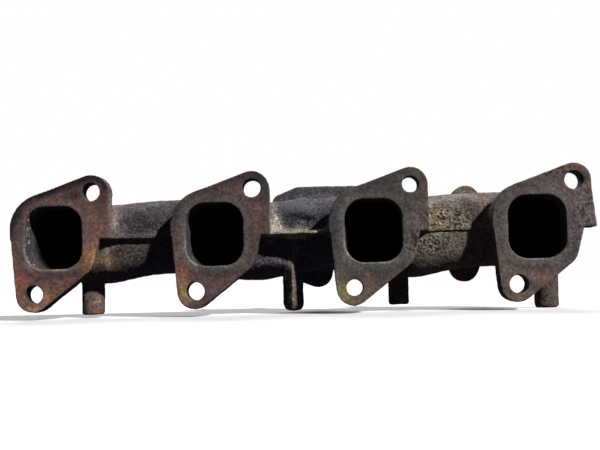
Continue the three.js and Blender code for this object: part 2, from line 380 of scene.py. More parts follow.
def outlet_field(x, y, z):
    """The outlet's neck and flange, without their holes."""
    if not near(x, OUTLET[0], 60):
        return FAR
    dx, dz = x - OUTLET[0], z - OUTLET[1]
    shape = polygon_field(dx, dz, OUTLET_OUTLINE)
    plate = slab(shape, y, OUTLET_BACK_Y, OUTLET_FACE_Y, OUTLET_EDGE_R)
    ends = np.maximum(OUTLET_NECK_Y - y, y - OUTLET_FACE_Y + 2)
    neck = np.maximum(length(dx, dz) - OUTLET_NECK_R, ends)
    return smooth_union(plate, neck, BRANCH_FILLET)


def egr_outline_field(dx, dz):
    """The oval outline of the EGR flange: a hub with an ear above and below."""
    ears = FAR
    for hx, hz in EGR_HOLES:
        ears = np.minimum(ears, length(dx - hx, dz - hz) - EGR_EAR_R)
    return smooth_union(length(dx, dz) - EGR_HUB_R, ears, EGR_EAR_FILLET)


def egr_field(x, y, z):
    """The EGR take-off's neck and flange, without their holes."""
    if not near(x, EGR[0], 45):
        return FAR
    dx, dz = x - EGR[0], z - EGR[1]
    plate = slab(egr_outline_field(dx, dz), y, EGR_BACK_Y, EGR_FACE_Y, EGR_EDGE_R)
    ends = np.maximum(EGR_NECK_Y - y, y - EGR_FACE_Y + 2)
    neck = np.maximum(length(dx, dz) - EGR_NECK_R, ends)
    return smooth_union(plate, neck, BRANCH_FILLET)


def hollow_field(x, y, z):
    """The gas passage: the four ports, the log and the two rear bores."""
    ports = passage_field(x, y, z, 0.0, FACE_Y - PORT_CLEAR)
    gas = smooth_union(log_field(x, y, z, LOG_R - WALL), ports, BRANCH_FILLET)
    if near(x, OUTLET[0], 45):
        bore = length(x - OUTLET[0], z - OUTLET[1]) - OUTLET_BORE_R
        gas = smooth_union(gas, np.maximum(bore, OUTLET_BORE_Y - y), BORE_FILLET)
    if near(x, EGR[0], 35):
        bore = length(x - EGR[0], z - EGR[1]) - EGR_BORE_R
        gas = smooth_union(gas, np.maximum(bore, EGR_BORE_Y - y), BORE_FILLET)
    return gas


def bolt_holes_field(x, y, z):
    """The through holes of the head flanges and the blind stud holes of the rear ones."""
    best = FAR
    for port, radius in zip(PORT_X, HEAD_HOLE_R):
        for hx, hz in HEAD_HOLES:
            if near(x, port + hx, 20):
                hole = length(x - port - hx, z - hz) - radius
                best = np.minimum(best, np.maximum(hole, y - FLANGE_THICKNESS - HEAD_HOLE_REACH))
    for (cx, cz), centres, bottom in (
        (OUTLET, OUTLET_HOLES, OUTLET_FACE_Y - OUTLET_STUD[0]),
        (EGR, EGR_HOLES, EGR_FACE_Y - EGR_STUD[0]),
    ):
        for hx, hz in centres:
            if near(x, cx + hx, 20):
                hole = length(x - cx - hx, z - cz - hz) - STUD_R - STUD_HOLE_CLEARANCE
                best = np.minimum(best, np.maximum(hole, bottom - STUD_END_CLEARANCE - y))
    return best


def casting_field(x, y, z):
    """The whole casting, smooth; its part above the flanges' step has the fuller fillets."""
    log = log_field(x, y, z, LOG_R)
    runners = passage_field(x, y, z, WALL, RUNNER_START_Y)
    body = smooth_union(log, runners, RUNNER_FILLET)
    body = smooth_union(body, outlet_field(x, y, z), BRANCH_FILLET)
    body = smooth_union(body, egr_field(x, y, z), BRANCH_FILLET)
    body = smooth_union(body, shoulder_field(x, y, z), BRANCH_FILLET)
    body = smooth_union(body, peg_field(x, y, z), PEG_FILLET)
    flanges = flanges_field(x, y, z)
    recess = log_axis(x)[0] - LOG_R - LEDGE_RECESS
    upper = smooth_union(body, ledge_field(x, y, z), np.clip(0.9 * recess, *LEDGE_FILLETS))
    upper = smooth_union(upper, flanges, FLANGE_FILLETS[0])
    upper = smooth_cut(upper, STEP_Z - z, STEP_EDGE)
    start, full, fading, end = FLAT_X
    flat = soft_step(x, start, full) * (1 - soft_step(x, fading, end))
    lower = smooth_cut(body, FLAT_Y - FLAT_CLEAR * (1 - flat) - y, FLAT_EDGE)
    lower = smooth_union(lower, flanges, FLANGE_FILLETS[1])
    solid = smooth_union(upper, lower, STEP_FILLET)
    solid = smooth_cut(solid, -hollow_field(x, y, z), PASSAGE_EDGE)
    solid = smooth_cut(solid, -bolt_holes_field(x, y, z), HOLE_EDGE)
    return smooth_cut(solid, FACE_Y - y, FACE_EDGE)


# ---------------------------------------------------------------- meshing

# The corners of the grid, clear of the casting on every side
LOW = np.array([-179.0, -2.0, -53.0])
HIGH = np.array([188.0, 89.0, 41.0])
SLAB_CELLS = 12
LOOSE_SLABS = 60


def sample_field(cell):
    """The field on a grid, made slab by slab along X so that features far away are skipped."""
    counts = np.ceil((HIGH - LOW) / cell).astype(int) + 1
    xs, ys, zs = (LOW[i] + cell * np.arange(counts[i]) for i in range(3))
    values = np.empty(counts, np.float32)
    y = ys[None, :, None].astype(np.float32)
    z = zs[None, None, :].astype(np.float32)
    step = SLAB_CELLS
    for i in range(0, counts[0], step):
        x = xs[i : i + step, None, None].astype(np.float32)
        values[i : i + step] = casting_field(x, y, z)
    return values


def surface_nets(values, cell):
    """A quad mesh of the field's zero surface: one vertex in each grid cell that it crosses."""
    solid = values < 0
    corners = [(i, j, k) for i in (0, 1) for j in (0, 1) for k in (0, 1)]
    shape = np.array(values.shape) - 1
    total = sum(
        solid[i : i + shape[0], j : j + shape[1], k : k + shape[2]].astype(np.int8)
        for i, j, k in corners
    )
    active = (total > 0) & (total < 8)
    number = np.full(active.shape, -1, np.int32)
    number[active] = np.arange(active.sum())
    cells = np.argwhere(active)
    places = np.zeros((len(cells), 3))
    crossings = np.zeros(len(cells))
    for axis in range(3):
        unit = np.eye(3, dtype=int)[axis]
        for corner in corners:
            if corner[axis]:
                continue
            a = values[tuple((cells + corner).T)]
            b = values[tuple((cells + corner + unit).T)]
            crossed = (a < 0) != (b < 0)
            t = np.where(crossed, a / np.where(crossed, a - b, 1), 0)
            places += crossed[:, None] * (np.array(corner) + unit * t[:, None])
            crossings += crossed
    vertices = LOW + cell * (cells + places / crossings[:, None])
    quads = []
    for axis in range(3):
        others = [a for a in range(3) if a != axis]
        unit = np.eye(3, dtype=int)
        ends = np.argwhere(np.diff(solid, axis=axis))
        ends = ends[(ends[:, others] > 0).all(1) & (ends[:, others] < shape[others]).all(1)]
        u, v = unit[(axis + 1) % 3], unit[(axis + 2) % 3]
        ring = [ends - u - v, ends - v, ends, ends - u]
        quad = np.stack([number[tuple(r.T)] for r in ring], 1)
        outward = solid[tuple(ends.T)]
        quad[~outward] = quad[~outward][:, ::-1]
        quads.append(quad)
    return vertices, np.concatenate(quads)


def by_slabs(function, points):
    """A field's values at loose points, worked out in slabs along X."""
    order = np.argsort(points[:, 0])
    values = np.empty(len(points))
    for part in np.array_split(order, LOOSE_SLABS):
        x, y, z = points[part].T
        values[part] = function(x, y, z)
    return values


def gradient(function, points, step=0.15):
    """A field's slope at loose points, by central differences."""
    slopes = [
        by_slabs(function, points + step * unit) - by_slabs(function, points - step * unit)
        for unit in np.eye(3)
    ]
    return np.stack(slopes, 1) / (2 * step)


def snap_to_surface(points, function, rounds):
    """Moves points on to the field's zero surface by Newton steps."""
    for _ in range(rounds):
        slope = gradient(function, points)
        size = np.maximum((slope ** 2).sum(1), 0.25)
        move = by_slabs(function, points) / size
        points = points - np.clip(move, -0.6 * CELL, 0.6 * CELL)[:, None] * slope
    return points


# ---------------------------------------------------------------- roughness of the casting

LATTICE = 64
RANDOM = np.random.default_rng(11).uniform(-1, 1, (LATTICE,) * 3).astype(np.float32)


def noise(x, y, z, size, shift=0.0):
    """Smooth noise from -1 to 1, with lumps about size mm wide."""
    scaled = [c / size + shift + 200.0 for c in (x, y, z)]
    low = [np.floor(c).astype(int) for c in scaled]
    part = [c - n for c, n in zip(scaled, low)]
    part = [t * t * (3 - 2 * t) for t in part]
    total = 0.0
    for corner in np.ndindex(2, 2, 2):
        weight = 1.0
        for bit, t in zip(corner, part):
            weight = weight * (t if bit else 1 - t)
        index = tuple((n + bit) % LATTICE for n, bit in zip(low, corner))
        total = total + weight * RANDOM[index]
    return total


# No flaws or wrinkles behind this depth; the pitted patches fade between the next two
FRONT_Y = 40.0
PITTED_FADE = (34.0, 50.0)
# x, z, radius, depth of casting flaws on the front of the log
PITS = (
    (94.0, 5.8, 1.1, 0.7),
    (86.5, 3.2, 1.6, 0.8),
    (82.5, 2.6, 1.0, 0.6),
    (97.5, 4.2, 0.9, 0.5),
    (108.5, 9.0, 0.9, 0.5),
    (111.0, 12.5, 1.0, 0.5),
    (-113.5, 2.4, 1.5, 0.6),
    (-110.5, 3.4, 1.1, 0.5),
    (-107.5, 1.8, 0.9, 0.5),
)


def machined(x, y, z):
    """1 on the three kinds of machined face, falling to 0 about 1.6 mm away from them."""
    front = np.clip((1.6 - y) / 1.2, 0, 1)
    outlet = np.clip((y - OUTLET_FACE_Y + 1.6) / 1.2, 0, 1)
    egr = np.where(x > EGR_SIDE_X, np.clip((y - EGR_FACE_Y + 1.6) / 1.2, 0, 1), 0)
    return np.maximum(np.maximum(front, outlet), egr)


LEAST_PITTED = 0.15
# Rougher patches of the casting's front: x, z, half widths, strength
ROUGH_PATCHES = (
    (4, 9, 17, 5, 1.1),
    (97, 7, 16, 9, 1.3),
    (84, -9, 18, 8, 1.1),
    (-96, 6, 26, 8, 0.5),
    (-104, -12, 16, 8, 0.6),
    (-16, -18, 12, 5, 0.6),
    (178, 8, 8, 22, 0.7),
    (160, 34, 14, 6, 0.7),
)


def pitted(x, y, z):
    """How strongly the surface is pitted, from LEAST_PITTED up."""
    most = LEAST_PITTED
    front = 1 - soft_step(y, *PITTED_FADE)
    for px, pz, rx, rz, strength in ROUGH_PATCHES:
        if near(x, px, 3 * rx):
            spread = ((x - px) / rx) ** 2 + ((z - pz) / rz) ** 2
            most = np.maximum(most, strength * np.exp(-spread) * front)
    return most + np.zeros_like(x)


def ripples(x, y, z):
    """Fine wrinkles in the skin above the first ledge."""
    if not near(x, -100, 30):
        return 0.0
    waves = np.sin(2.6 * z + 0.5 * x + 2.0 * noise(x, y, z, 6.0, 5.5))
    spread = ((x + 100) / 16) ** 2 + ((z - 4) / 4) ** 2
    return 0.12 * waves * np.exp(-spread) * (y < FRONT_Y)


def relief(x, y, z):
    """How far the sand-cast skin stands proud of the smooth shape, in mm."""
    skin = 0.20 * noise(x, y, z, 7.0) + 0.14 * noise(x, y, z, 3.2, 9.5)
    skin = skin + (0.06 + 0.22 * pitted(x, y, z)) * noise(x, y, z, 1.7, 23.1)
    skin = skin + ripples(x, y, z)
    for px, pz, radius, depth in PITS:
        if near(x, px, 4):
            spread = ((x - px) ** 2 + (z - pz) ** 2) / radius ** 2
            skin = skin - depth * np.exp(-spread) * (y < FRONT_Y)
    hole_wall = np.clip(bolt_holes_field(x, y, z) / 1.2, 0, 1)
    return skin * (1 - 0.9 * machined(x, y, z)) * hole_wall


def skin_field(x, y, z):
    """The casting with its rough skin."""
    return casting_field(x, y, z) - relief(x, y, z)


# ---------------------------------------------------------------- pieces cut from one casting

CUT_FLANGE = 10.3
CUT_OUTLET = 74.0
CUT_EGR = 67.0
CUT_PEGS = -29.5
PEG_ROW_Y = (20.0, 60.0)
LOG_JOINTS = (-99.0, -20.0, 99.0)


def as_bmesh(points, quads):
    """The quads as one smooth-shaded bmesh."""
    mesh = bpy.data.meshes.new("whole")
    mesh.from_pydata(points.tolist(), [], quads.tolist())
    bm = bmesh.new()
    bm.from_mesh(mesh)
    bpy.data.meshes.remove(mesh)
    for face in bm.faces:
        face.smooth = True
    return bm


def trim(bm, axis, level, side, chosen):
    """Removes the chosen faces beyond a plane and closes the cut with flat faces."""
    normal = Vector(np.eye(3)[axis] * side)
    faces = [f for f in bm.faces if chosen(f)]
    # Kept in order, so that every run numbers the vertices alike
    geometry = dict.fromkeys(
        part for face in faces for part in (face, *face.verts, *face.edges)
    )
    bmesh.ops.bisect_plane(
        bm,
        geom=list(geometry),
        dist=1e-5,
        plane_co=normal * (level * side),
        plane_no=normal,
        clear_outer=True,
    )
    rim = [e for e in bm.edges if e.is_boundary]
    filled = bmesh.ops.triangle_fill(bm, use_beauty=True, edges=rim, normal=normal)
    for item in filled["geom"]:
        if isinstance(item, bmesh.types.BMFace):
            item.smooth = False


def divide(bm, axis, level, chosen=lambda face: True, side=1):
    """Cuts a closed surface in two at a plane; only the chosen faces are beyond it."""
    beyond = bm.copy()
    others = [f for f in beyond.faces if not chosen(f)]
    bmesh.ops.delete(beyond, geom=others, context="FACES")
    trim(bm, axis, level, side, chosen)
    trim(beyond, axis, level, -side, lambda face: True)
    return bm, beyond


def islands(bm, middles):
    """The separate parts of a surface, one for each of these places along X."""

    def nearest(face):
        x = face.calc_center_median().x
        return min(middles, key=lambda middle: abs(middle - x))

    parts = []
    for middle in middles:
        part = bm.copy()
        others = [face for face in part.faces if nearest(face) != middle]
        bmesh.ops.delete(part, geom=others, context="FACES")
        parts.append(part)
    return parts


def cut_casting(bm):
    """The casting's named sections, with the CAD nodes that each one stands for."""

    def on_egr_side(face):
        return face.calc_center_median().x > EGR_SIDE_X

    def in_peg_row(face):
        return PEG_ROW_Y[0] < face.calc_center_median().y < PEG_ROW_Y[1]

    front, rest = divide(bm, 1, CUT_FLANGE)
    rest, outlet = divide(rest, 1, CUT_OUTLET, lambda face: not on_egr_side(face))
    rest, egr = divide(rest, 1, CUT_EGR, on_egr_side)
    rest, pegs = divide(rest, 2, CUT_PEGS, in_peg_row, -1)
    log_1, rest = divide(rest, 0, LOG_JOINTS[0])
    log_2, rest = divide(rest, 0, LOG_JOINTS[1])
    log_3, log_4 = divide(rest, 0, LOG_JOINTS[2])
    joined = ([], ["ledge_1_2"], ["ledge_2_3", "outlet_neck"], ["ledge_3_4", "egr_neck"])
    pieces = []
    for i, section in enumerate((log_1, log_2, log_3, log_4)):
        nodes = [f"log_section_{i + 1}", f"runner_{i + 1}"] + joined[i]
        pieces.append((section, f"log_and_runner_{i + 1}", "cast_iron", nodes))
    pieces.append((outlet, "outlet_flange_skin", "flange_iron", ["outlet_flange"]))
    pieces.append((egr, "egr_flange_skin", "flange_iron", ["egr_flange"]))
    flanges = islands(front, PORT_X)
    stubs = islands(pegs, [peg[0] for peg in PEGS])
    for i, (flange, stub) in enumerate(zip(flanges, stubs)):
        node = f"port_flange_{i + 1}"
        pieces.append((flange, f"{node}_skin", "flange_iron", [node]))
        node = f"cast_peg_{i + 1}"
        pieces.append((stub, f"{node}_skin", "cast_iron", [node]))
    return pieces


# ---------------------------------------------------------------- paint, by zone


def linear(red, green, blue):
    """A colour given as on screen, 0 to 255, in linear light."""
    c = np.array([red, green, blue]) / 255
    return np.where(c <= 0.04045, c / 12.92, ((c + 0.055) / 1.055) ** 2.4)


def blend_in(colour, patch, amount):
    """The colour with this much of the patch's in it, at each point."""
    return colour + (patch - colour) * amount[:, None]


# Head flange faces: plain colour, ring round the port, outer rim, how dark the upper rim is,
# and how strong the painted highlight on the port's lower-left edge is
FACES = (
    ((104, 76, 69), (86, 77, 77), (34, 29, 34), 1.0, 0.85),
    ((84, 69, 66), (82, 83, 80), (54, 50, 53), 0.7, 0.6),
    ((80, 74, 70), (80, 83, 79), (62, 58, 60), 0.6, 0.9),
    ((88, 79, 77), (90, 88, 86), (76, 68, 68), 0.5, 0.35),
)
# Stains on the faces: place from the port's centre, half widths, colour, strength
FACE_STAINS = (
    (
        (29, 20, 5, 14, (78, 68, 62), 0.7),
        (4, 25, 15, 3, (118, 80, 67), 0.6),
        (13, 26.5, 7.5, 4, (36, 34, 42), 0.95),
        (-3, 21.5, 15, 2, (50, 46, 52), 0.85),
        (-20.5, -2, 2.2, 14, (62, 55, 55), 0.75),
        (24, 8, 6, 9, (118, 84, 78), 0.6),
        (23, -11, 5, 7, (172, 126, 76), 0.85),
        (0, -22.5, 18, 3.4, (24, 21, 24), 0.95),
        (-2, -30, 11, 5, (88, 72, 66), 0.7),
        (-20, -27, 6, 7, (132, 84, 68), 0.75),
        (-14, -45, 9, 3, (150, 124, 92), 0.8),
        (-4, -37, 4, 5, (150, 104, 60), 0.7),
        (-25, 12, 4, 10, (92, 78, 68), 0.7),
        (-26, -8, 4, 14, (96, 70, 62), 0.6),
    ),
    (
        (24, 36, 10, 8, (44, 46, 52), 0.95),
        (30, 22, 5, 8, (66, 60, 62), 0.7),
        (4, 29, 12, 4, (98, 68, 61), 0.7),
        (26, 8, 4, 12, (92, 72, 66), 0.7),
        (-25, -4, 4, 14, (94, 78, 71), 0.6),
        (0, -23, 16, 3, (52, 47, 48), 0.85),
        (-20, -24, 6, 7, (124, 82, 68), 0.8),
        (-19, -36, 4, 7, (142, 120, 78), 0.75),
        (4, -30, 10, 5, (92, 72, 66), 0.6),
        (-8, -47, 9, 3, (46, 42, 40), 0.8),
    ),
    (
        (31, 32, 5, 9, (98, 86, 66), 0.85),
        (20, 40, 9, 4, (74, 66, 62), 0.7),
        (6, 30, 12, 5, (58, 51, 55), 0.85),
        (-26, 4, 5, 16, (54, 57, 59), 0.85),
        (28, 6, 5, 12, (90, 80, 75), 0.7),
        (22, -14, 5, 8, (98, 93, 82), 0.7),
        (0, -24, 16, 3, (62, 64, 61), 0.8),
        (0, -29, 12, 3, (62, 48, 48), 0.8),
        (-20, -38, 5, 8, (136, 126, 84), 0.8),
        (-6, -44, 9, 4, (120, 104, 72), 0.8),
        (-3, -34, 5, 5, (104, 84, 64), 0.7),
    ),
    (
        (24, 37, 12, 5, (128, 102, 90), 0.9),
        (33, 24, 3, 4, (116, 84, 66), 0.5),
        (6, 29, 12, 5, (88, 76, 79), 0.6),
        (-24, 4, 5, 16, (84, 83, 81), 0.7),
        (28, 10, 6, 9, (90, 82, 81), 0.6),
        (0, -24, 16, 3, (64, 58, 56), 0.8),
        (-6, -29, 8, 3, (108, 90, 74), 0.7),
        (4, -35, 5, 5, (112, 78, 62), 0.6),
        (-14, -43, 10, 3, (104, 92, 72), 0.75),
        (-20, -32, 4, 8, (98, 86, 72), 0.6),
    ),
)
# Stains on the rest of the casting's front, and some painted light and shade (marked below): x, z,
# half widths, colour, strength
CAST_STAINS_AND_PAINTED_LIGHT = (
    # Painted highlight: a pale strip up the fillet on flange 1's right, where the key light falls
    # on it
    (-116, 10, 4, 18, (156, 136, 128), 0.9),
    # The next four: painted light and shade above the first ledge, lighter on top, darker across
    # the middle and paler along the lip, as the rounded log and its lip face the key light
    (-104, 10, 7, 5, (70, 64, 67), 0.7),
    (-90, 8, 14, 5, (48, 45, 49), 0.85),
    (-98, 21, 20, 3, (106, 100, 101), 0.75),
    (-98, 1, 18, 2.2, (108, 105, 105), 0.85),
    (-119, -14, 5, 6, (150, 124, 92), 0.8),
    # Painted shadow: darker under the first ledge beside flange 1, where the ledge's shadow falls
    (-112, -8, 5, 8, (62, 54, 52), 0.7),
    (-103, -11, 5, 7, (96, 87, 83), 0.75),
    (-94, -9, 8, 8, (62, 58, 60), 0.7),
    (-132, -40, 9, 8, (128, 106, 92), 0.8),
    (-133, -48, 6, 1.4, (160, 104, 62), 0.7),
    # The next six: painted light and shade above the middle ledge, lighter on top, nearly black
    # across the hollow of the fillet, a pale strip up the fillet beside flange 2 and bright cream
    # along the lip, as these face the key light
    (4, 20, 24, 4, (92, 90, 92), 0.6),
    (4, 11, 19, 5.2, (22, 22, 31), 0.95),
    (-13.5, 10, 3.2, 12, (152, 147, 137), 0.9),
    (-10, 2.2, 11, 3.2, (172, 163, 143), 0.9),
    (2, 0.4, 20, 1.8, (176, 168, 148), 0.95),
    (0, 5, 12, 1.6, (84, 80, 76), 0.6),
    (-16, -17, 14, 5, (88, 79, 76), 0.8),
    (-3, -18.5, 4, 2, (104, 98, 94), 0.8),
    # Peg 2's ridge: its pale scale, and partly a painted highlight where the ridge catches the key
    # light
    (-2.4, -36, 2.2, 16, (150, 134, 102), 0.9),
    (76, 20, 9, 5, (150, 138, 124), 0.85),
    (84, 16, 6, 5, (166, 163, 156), 0.85),
    (88, 8, 8, 5, (128, 110, 88), 0.8),
    (92, 2, 14, 3, (120, 108, 90), 0.8),
    (104, 21, 14, 4, (150, 142, 136), 0.85),
    (112, 13, 8, 6, (74, 67, 63), 0.8),
    (94, -11, 14, 8, (104, 95, 84), 0.7),
    (161, -40, 9, 10, (92, 74, 68), 0.85),
    (120, 24, 4, 5, (118, 84, 72), 0.7),
)
# The casting's plain colours: left end, right end, middle, and patches behind
CAST_GREY = (75, 71, 72)
CAST_TAN = (108, 100, 88)
CAST_BLUE = (80, 80, 87)
BACK_RUST = (112, 84, 68)
BACK_ASH = (104, 99, 96)
BACK_FACE = (112, 90, 78)
# Front stains and painted light and shade give way to the colours behind between these depths
BEHIND_Y = (30.0, 50.0)
# The port's lower-left edge, paled as a painted highlight where the key light catches it,
# and the inside of the ports from the front inwards, going to soot and painted shade
LIP_HIGHLIGHT = (134, 130, 122)
ASH = (78, 75, 78)
ASH_SPECK = (186, 180, 160)
SOOT_AND_SHADE = (13, 11, 15)


def add_patches(colour, x, z, patches, warp_x, warp_z):
    """The colour with soft oval patches laid over it in order: stains, and in the casting's table
    painted light and shade too.
    """
    for sx, sz, rx, rz, shade, strength in patches:
        spread = ((x + warp_x - sx) / rx) ** 2 + ((z + warp_z - sz) / rz) ** 2
        colour = blend_in(colour, linear(*shade), strength * np.exp(-spread))
    return colour


def flange_paint(x, y, z, warp_x, warp_z):
    """Colours of the four head flanges, each from its own port outwards."""
    colour = np.zeros((len(x), 3))
    nearest = np.argmin([np.abs(x - port) for port in PORT_X], axis=0)
    for i, port in enumerate(PORT_X):
        mine = nearest == i
        face, ring, rim, rim_strength, lip_highlight = FACES[i]
        dx, dz, wx, wz = x[mine] - port, z[mine], warp_x[mine], warp_z[mine]
        part = np.tile(linear(*face), (mine.sum(), 1))
        part = add_patches(part, dx, dz, FACE_STAINS[i], 0.6 * wx, 0.6 * wz)
        inset = -polygon_field(dx, dz, FLANGE_OUTLINES[i]) + 0.5 * wx
        upper = soft_step(dz - 0.42 * dx, 2, 20)
        part = blend_in(part, linear(*rim), rim_strength * upper * (1 - soft_step(inset, 2, 7)))
        edge = rounded_box_field(dx, dz, *PORT_HALF, PORT_CORNER_R)
        rough_edge = edge + 0.3 * wz
        part = blend_in(part, linear(*ring), 0.6 * (1 - soft_step(rough_edge, 2.5, 6.0)))
        gasket_mark = np.exp(-(((rough_edge - 5.6) / 0.8) ** 2))
        part = blend_in(part, 0.55 * linear(*ring), 0.45 * gasket_mark)
        # Painted highlight: each port's lower-left edge is paled where the key light catches it
        low_left = soft_step(-0.5 * dx / PORT_HALF[0] - dz / PORT_HALF[1], 0.3, 1.0)
        lip = np.exp(-(((edge + 0.1) / 1.0) ** 2)) * (0.7 + 0.3 * np.sign(wz))
        part = blend_in(part, linear(*LIP_HIGHLIGHT), lip_highlight * lip * low_left)
        colour[mine] = part
    return colour


def casting_paint(x, y, z, warp_x, warp_z):
    """Colours of everything but the head flanges: stained, with painted light and shade, in front;
    rusty and ashen behind.
    """
    colour = np.tile(linear(*CAST_GREY), (len(x), 1))
    tan = soft_step(x, 62, 84) * (1 - 0.5 * soft_step(x, 150, 180))
    colour = blend_in(colour, linear(*CAST_TAN), 0.9 * tan)
    blue = soft_step(x, -40, -15) * (1 - soft_step(x, 30, 60))
    colour = blend_in(colour, linear(*CAST_BLUE), 0.8 * blue)
    # The front's stains, with painted light and shade laid in among them
    front = add_patches(colour, x, z, CAST_STAINS_AND_PAINTED_LIGHT, warp_x, warp_z)
    behind = soft_step(y + warp_z, *BEHIND_Y)
    colour = front + (colour - front) * behind[:, None]
    rusty = soft_step(noise(x, y, z, 15.0, 71.7), -0.05, 0.5) * behind * (1 - 0.8 * blue)
    colour = blend_in(colour, linear(*BACK_RUST), 0.6 * rusty)
    ashen = soft_step(noise(x, y, z, 11.0, 35.9), 0.1, 0.6) * behind
    colour = blend_in(colour, linear(*BACK_ASH), 0.5 * ashen)
    joint_face = machined(x, y, z) * (y > BEHIND_Y[1])
    return blend_in(colour, linear(*BACK_FACE), 0.75 * joint_face)


def paint(x, y, z):
    """The casting's colour before its grain: stains, heat marks, soot, and painted light and shade,
    in linear light.
    """
    warp_x = 3.0 * noise(x, y, z, 8.0, 3.3) + 1.5 * noise(x, y, z, 3.5, 7.7)
    warp_z = 3.0 * noise(x, y, z, 8.0, 41.3) + 1.5 * noise(x, y, z, 3.5, 57.7)
    on_flange = 1 - soft_step(y, 1.0, 3.0)
    colour = blend_in(
        casting_paint(x, y, z, warp_x, warp_z), flange_paint(x, y, z, warp_x, warp_z), on_flange
    )
    tint = np.stack([noise(x, y, z, 2.6, shift) for shift in (15.1, 29.4, 63.8)], 1)
    shade = noise(x, y, z, 4.2, 83.3) + 0.7 * noise(x, y, z, 2.1, 91.9)
    colour = colour * (1 + 0.07 * tint + 0.13 * shade[:, None])
    inner = by_slabs(hollow_field, np.column_stack([x, y, z])) < 0.8
    # Inside the passages: ash near the mouth, darkening deeper in to soot and painted shade, where
    # little light gets
    depth = y + 0.8 * warp_x
    passage_colour = blend_in(np.tile(linear(*ASH), (len(x), 1)), linear(*SOOT_AND_SHADE), soft_step(depth, 14, 24))
    flaked = soft_step(noise(x, y, z, 1.5, 37.7), 0.3, 0.5) * (x < PORT_X[0] - 12) * (y < 11)
    passage_colour = blend_in(passage_colour, linear(*ASH_SPECK), 0.8 * flaked)
    return blend_in(colour, passage_colour, inner * soft_step(y, 0.8, 2.5))


def set_attribute(mesh, name, values):
    """Stores one value or one colour for each vertex."""
    kind, field = ("FLOAT_COLOR", "color") if values.ndim == 2 else ("FLOAT", "value")
    attribute = mesh.attributes.new(name, kind, "POINT")
    if values.ndim == 2:
        values = np.column_stack([values, np.ones(len(values))])
    attribute.data.foreach_set(field, values.astype(np.float32).ravel())


def finish_casting_piece(bm, name, slot, nodes, materials):
    """Makes the object of one piece, with the true normals of the uncut skin."""
    mesh = bpy.data.meshes.new(name)
    bm.to_mesh(mesh)
    bm.free()
    points = np.empty(len(mesh.vertices) * 3)
    mesh.vertices.foreach_get("co", points)
    points = points.reshape(-1, 3)
    normals = gradient(skin_field, points)
    normals /= np.maximum(np.linalg.norm(normals, axis=1, keepdims=True), 1e-9)
    x, y, z = points.T
    set_attribute(mesh, "paint", paint(x, y, z))
    set_attribute(mesh, "machined", machined(x, y, z))
    set_attribute(mesh, "pitted", by_slabs(pitted, points))
    corner = np.empty(len(mesh.loops), int)
    mesh.loops.foreach_get("vertex_index", corner)
    loop_normals = normals[corner]
    for face in mesh.polygons:
        if not face.use_smooth:
            loop_normals[list(face.loop_indices)] = face.normal
    mesh.normals_split_custom_set(loop_normals.tolist())
    mesh.vertices.foreach_set("co", (points * MM).ravel())
    mesh.update()
    mesh.materials.append(materials[slot])
    piece = bpy.data.objects.new(name, mesh)
    bpy.context.scene.collection.objects.link(piece)
    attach(piece, "root")
    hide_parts(*nodes)


# ---------------------------------------------------------------- studs

STUD_SEGMENTS = 28
# The waist is plain and thinner, from the flange's face out
STUD_NECK_R = 3.3
STUD_WAIST = 2.0
STUD_END_ROUNDING = 1.1
THREAD_DEPTH = 0.6
THREAD_RUN_OUT = 0.8
THREAD_STEP = 0.125


def stud_mesh(name, x, z, face_y, depth, out):
    """A threaded stud along Y, its helix running out at the plain waist and the rounded ends."""
    offsets = np.arange(-depth, out + THREAD_STEP / 2, THREAD_STEP)
    angles = np.arange(STUD_SEGMENTS) * 2 * np.pi / STUD_SEGMENTS
    along, around = np.meshgrid(offsets, angles, indexing="ij")
    turn = (along / STUD_PITCH - around / (2 * np.pi)) % 1.0
    groove = np.clip(1.15 - 2.6 * np.abs(turn - 0.5), 0, 1)
    from_waist = np.maximum(-along, along - STUD_WAIST)
    from_end = np.minimum(along + depth, out - along)
    thread = STUD_R - THREAD_DEPTH * groove * np.clip(from_waist / THREAD_RUN_OUT, 0, 1)
    radius = thread - (STUD_R - STUD_NECK_R) * (1 - soft_step(from_waist, -0.2, 0.5))
    rounding = np.sqrt(np.clip(2.4 * from_end, 0, STUD_END_ROUNDING ** 2))
    radius = np.minimum(radius, STUD_R - STUD_END_ROUNDING + rounding)
    rings = np.stack(
        [x + radius * np.cos(around), face_y + along, z + radius * np.sin(around)], -1
    ).reshape(-1, 3)
    ends = [(x, face_y - depth, z), (x, face_y + out, z)]
    points = np.concatenate([rings, ends]) * MM
    faces = []
    for i in range(len(offsets) - 1):
        for j in range(STUD_SEGMENTS):
            k = (j + 1) % STUD_SEGMENTS
            a, b = i * STUD_SEGMENTS, (i + 1) * STUD_SEGMENTS
            faces.append((a + j, b + j, b + k, a + k))
    last = (len(offsets) - 1) * STUD_SEGMENTS
    for j in range(STUD_SEGMENTS):
        k = (j + 1) % STUD_SEGMENTS
        faces.append((len(rings), j, k))
        faces.append((len(rings) + 1, last + k, last + j))
    mesh = bpy.data.meshes.new(name)
    mesh.from_pydata(points.tolist(), [], faces)
    mesh.polygons.foreach_set("use_smooth", [True] * len(faces))
    mesh.update()
    return mesh


def build_studs(material):
    """The three outlet studs and the two EGR studs."""
    sets = (
        ("outlet_stud", OUTLET, OUTLET_HOLES, OUTLET_FACE_Y, OUTLET_STUD),
        ("egr_stud", EGR, EGR_HOLES, EGR_FACE_Y, EGR_STUD),
    )
    for node, centre, holes, face_y, lengths in sets:
        for i, (dx, dz) in enumerate(holes):
            name = f"{node}_{i + 1}_threaded"
            mesh = stud_mesh(name, centre[0] + dx, centre[1] + dz, face_y, *lengths)
            mesh.materials.append(material)
            piece = bpy.data.objects.new(name, mesh)
            bpy.context.scene.collection.objects.link(piece)
            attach(piece, "root")
            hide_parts(f"{node}_{i + 1}")


